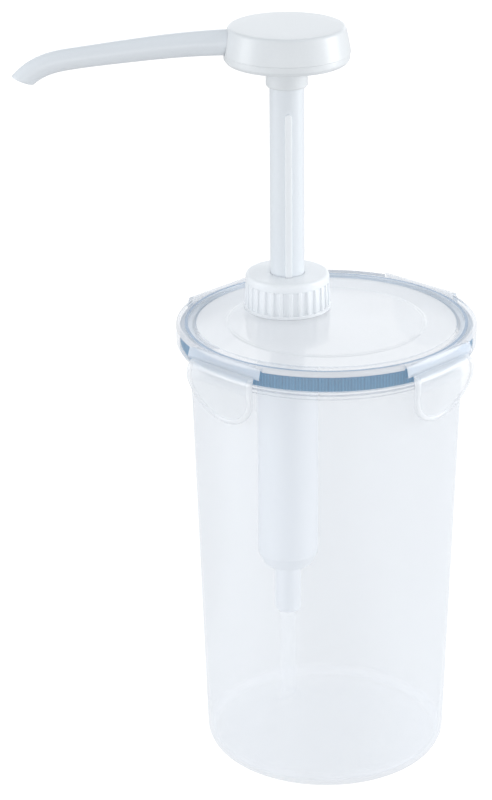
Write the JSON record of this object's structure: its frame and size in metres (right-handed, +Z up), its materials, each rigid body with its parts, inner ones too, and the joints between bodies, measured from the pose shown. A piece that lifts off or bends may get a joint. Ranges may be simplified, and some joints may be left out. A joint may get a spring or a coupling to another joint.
{
  "type": "condiment pump dispenser",
  "caption": "Round translucent food container with a clip-down lid, blue seal and a push-head condiment pump with a long side spout.",
  "frame": {"origin": "centre of the container's underside, on the surface it stands on", "axes": "+Z up along the container; the four clips sit on the diagonals between the X and Y axes; the spout points roughly to -X and the front of the picture is -Y"},
  "size_m": [0.2249, 0.148, 0.3743],
  "materials": {
    "container_pp": "milky translucent polypropylene, smooth outside",
    "lid_pp": "clear polypropylene, glossy panel",
    "clip_pp": "clear polypropylene, satin",
    "gasket_silicone": "steel-blue silicone",
    "pump_white": "white moulded polypropylene, soft gloss",
    "tube_pe": "natural polyethylene tube",
    "seal_pe": "soft polyethylene",
    "spring_steel": "drawn stainless wire",
    "ball_steel": "polished stainless ball"
  },
  "bodies": {
    "vessel": {"container": "container_pp", "lid": "lid_pp", "lid_gasket": "gasket_silicone"},
    "clip_fl": {"clip_front_left": "clip_pp"},
    "clip_fr": {"clip_front_right": "clip_pp"},
    "clip_br": {"clip_back_right": "clip_pp"},
    "clip_bl": {"clip_back_left": "clip_pp"},
    "pump_body": {"pump_washer": "seal_pe", "pump_cylinder": "pump_white", "dip_tube": "tube_pe", "spring_seat": "pump_white", "return_spring": "spring_steel"},
    "collar_body": {"collar": "pump_white"},
    "plunger": {"piston": "pump_white", "piston_seal": "seal_pe", "stem": "pump_white", "head_base": "pump_white", "head_cap": "pump_white", "spout": "pump_white"},
    "inlet_valve": {"inlet_ball": "ball_steel"},
    "outlet_valve": {"outlet_ball": "ball_steel"}
  },
  "joints": [
    {"name": "clip_fl_hinge", "type": "hinge", "parent": "vessel", "child": "clip_fl", "pos_m": [-0.0519, -0.0519, 0.2272], "axis": [-0.7071, 0.7071, 0], "range_deg": [0, 120]},
    {"name": "clip_fr_hinge", "type": "hinge", "parent": "vessel", "child": "clip_fr", "pos_m": [0.0519, -0.0519, 0.2272], "axis": [-0.7071, -0.7071, 0], "range_deg": [0, 120]},
    {"name": "clip_br_hinge", "type": "hinge", "parent": "vessel", "child": "clip_br", "pos_m": [0.0519, 0.0519, 0.2272], "axis": [0.7071, -0.7071, 0], "range_deg": [0, 120]},
    {"name": "clip_bl_hinge", "type": "hinge", "parent": "vessel", "child": "clip_bl", "pos_m": [-0.0519, 0.0519, 0.2272], "axis": [0.7071, 0.7071, 0], "range_deg": [0, 120]},
    {"name": "collar_rise", "type": "slide", "parent": "vessel", "child": "pump_body", "axis": [0, 0, 1], "range_m": [0, 0.00525]},
    {"name": "collar_turn", "type": "hinge", "parent": "pump_body", "child": "collar_body", "pos_m": [-0.0183, 0.0222, 0.24], "axis": [0, 0, 1], "range_deg": [0, 450]},
    {"name": "pump_stroke", "type": "slide", "parent": "collar_body", "child": "plunger", "axis": [0, 0, -1], "range_m": [0, 0.094], "stiffness_N_per_m": 110, "springref_m": -0.025, "deforming": ["return_spring"]},
    {"name": "inlet_ball_lift", "type": "slide", "parent": "pump_body", "child": "inlet_valve", "axis": [0, 0, 1], "range_m": [0, 0.005]},
    {"name": "outlet_ball_lift", "type": "slide", "parent": "plunger", "child": "outlet_valve", "axis": [0, 0, 1], "range_m": [0, 0.0042]}
  ],
  "couplings": [
    {"joint": "collar_turn", "follows": "collar_rise", "rad_per_m": 1496}
  ]
}
